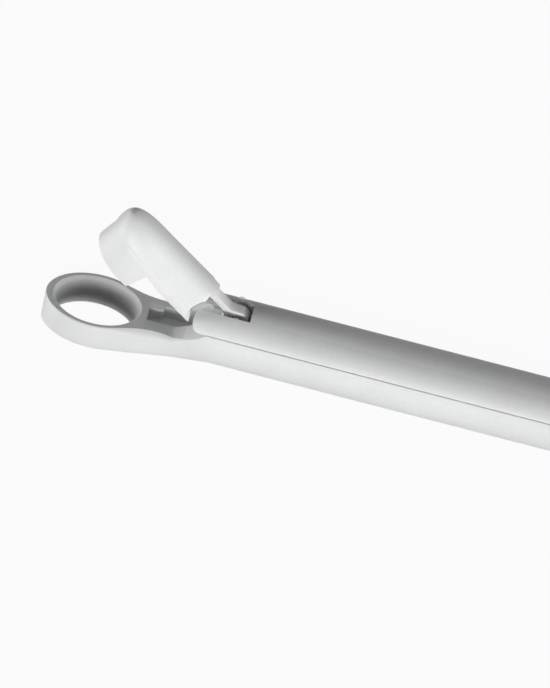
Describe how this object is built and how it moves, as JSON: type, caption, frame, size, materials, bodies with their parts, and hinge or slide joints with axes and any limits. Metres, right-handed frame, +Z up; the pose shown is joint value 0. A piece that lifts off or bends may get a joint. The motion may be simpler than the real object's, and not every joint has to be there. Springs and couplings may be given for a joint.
{
  "type": "nasal cutting forceps",
  "caption": "Ring-handled nasal cutting forceps: a sliding shaft closes a hinged punch jaw into a flat lower jaw with an oval hole.",
  "frame": {"origin": "on the lower side face of the handle hub, under the shaft's axis", "axes": "+X from the jaws to the handles, +Y the side to which the upper jaw opens, +Z up, away from the side on which the instrument lies"},
  "size_m": [0.1928, 0.0875, 0.0073],
  "materials": {
    "satin_steel": "satin",
    "handle_steel": "satin",
    "jaw_steel": "satin",
    "pin_steel": "polished",
    "screw_steel": "satin"
  },
  "bodies": {
    "frame": {"lower_jaw": "satin_steel", "fixed_shaft": "satin_steel", "handle_frame": "handle_steel", "shaft_retaining_pin": "pin_steel", "handle_pivot_screw": "screw_steel", "jaw_pivot_pin": "pin_steel"},
    "handle": {"front_handle": "handle_steel"},
    "slider": {"slider": "satin_steel", "drive_pin": "pin_steel", "link_pin": "pin_steel", "front_guide_stud": "pin_steel", "rear_guide_stud": "pin_steel"},
    "jaw": {"upper_jaw": "jaw_steel"}
  },
  "joints": [
    {"name": "handle_hinge", "type": "hinge", "parent": "frame", "child": "handle", "pos_m": [0, -0.007, 0.0035], "axis": [0, 0, 1], "range_deg": [0, 8.82]},
    {"name": "slider_slide", "type": "slide", "parent": "frame", "child": "slider", "axis": [-1, 0, 0], "range_m": [0, 0.00147]},
    {"name": "jaw_hinge", "type": "hinge", "parent": "frame", "child": "jaw", "pos_m": [-0.1172, -0.0002, 0.0035], "axis": [0, 0, 1], "range_deg": [0, 41]}
  ],
  "couplings": [
    {"joint": "slider_slide", "follows": "handle_hinge", "m_per_rad": 0.0095189},
    {"joint": "jaw_hinge", "follows": "handle_hinge", "ratio": 4.6485}
  ]
}
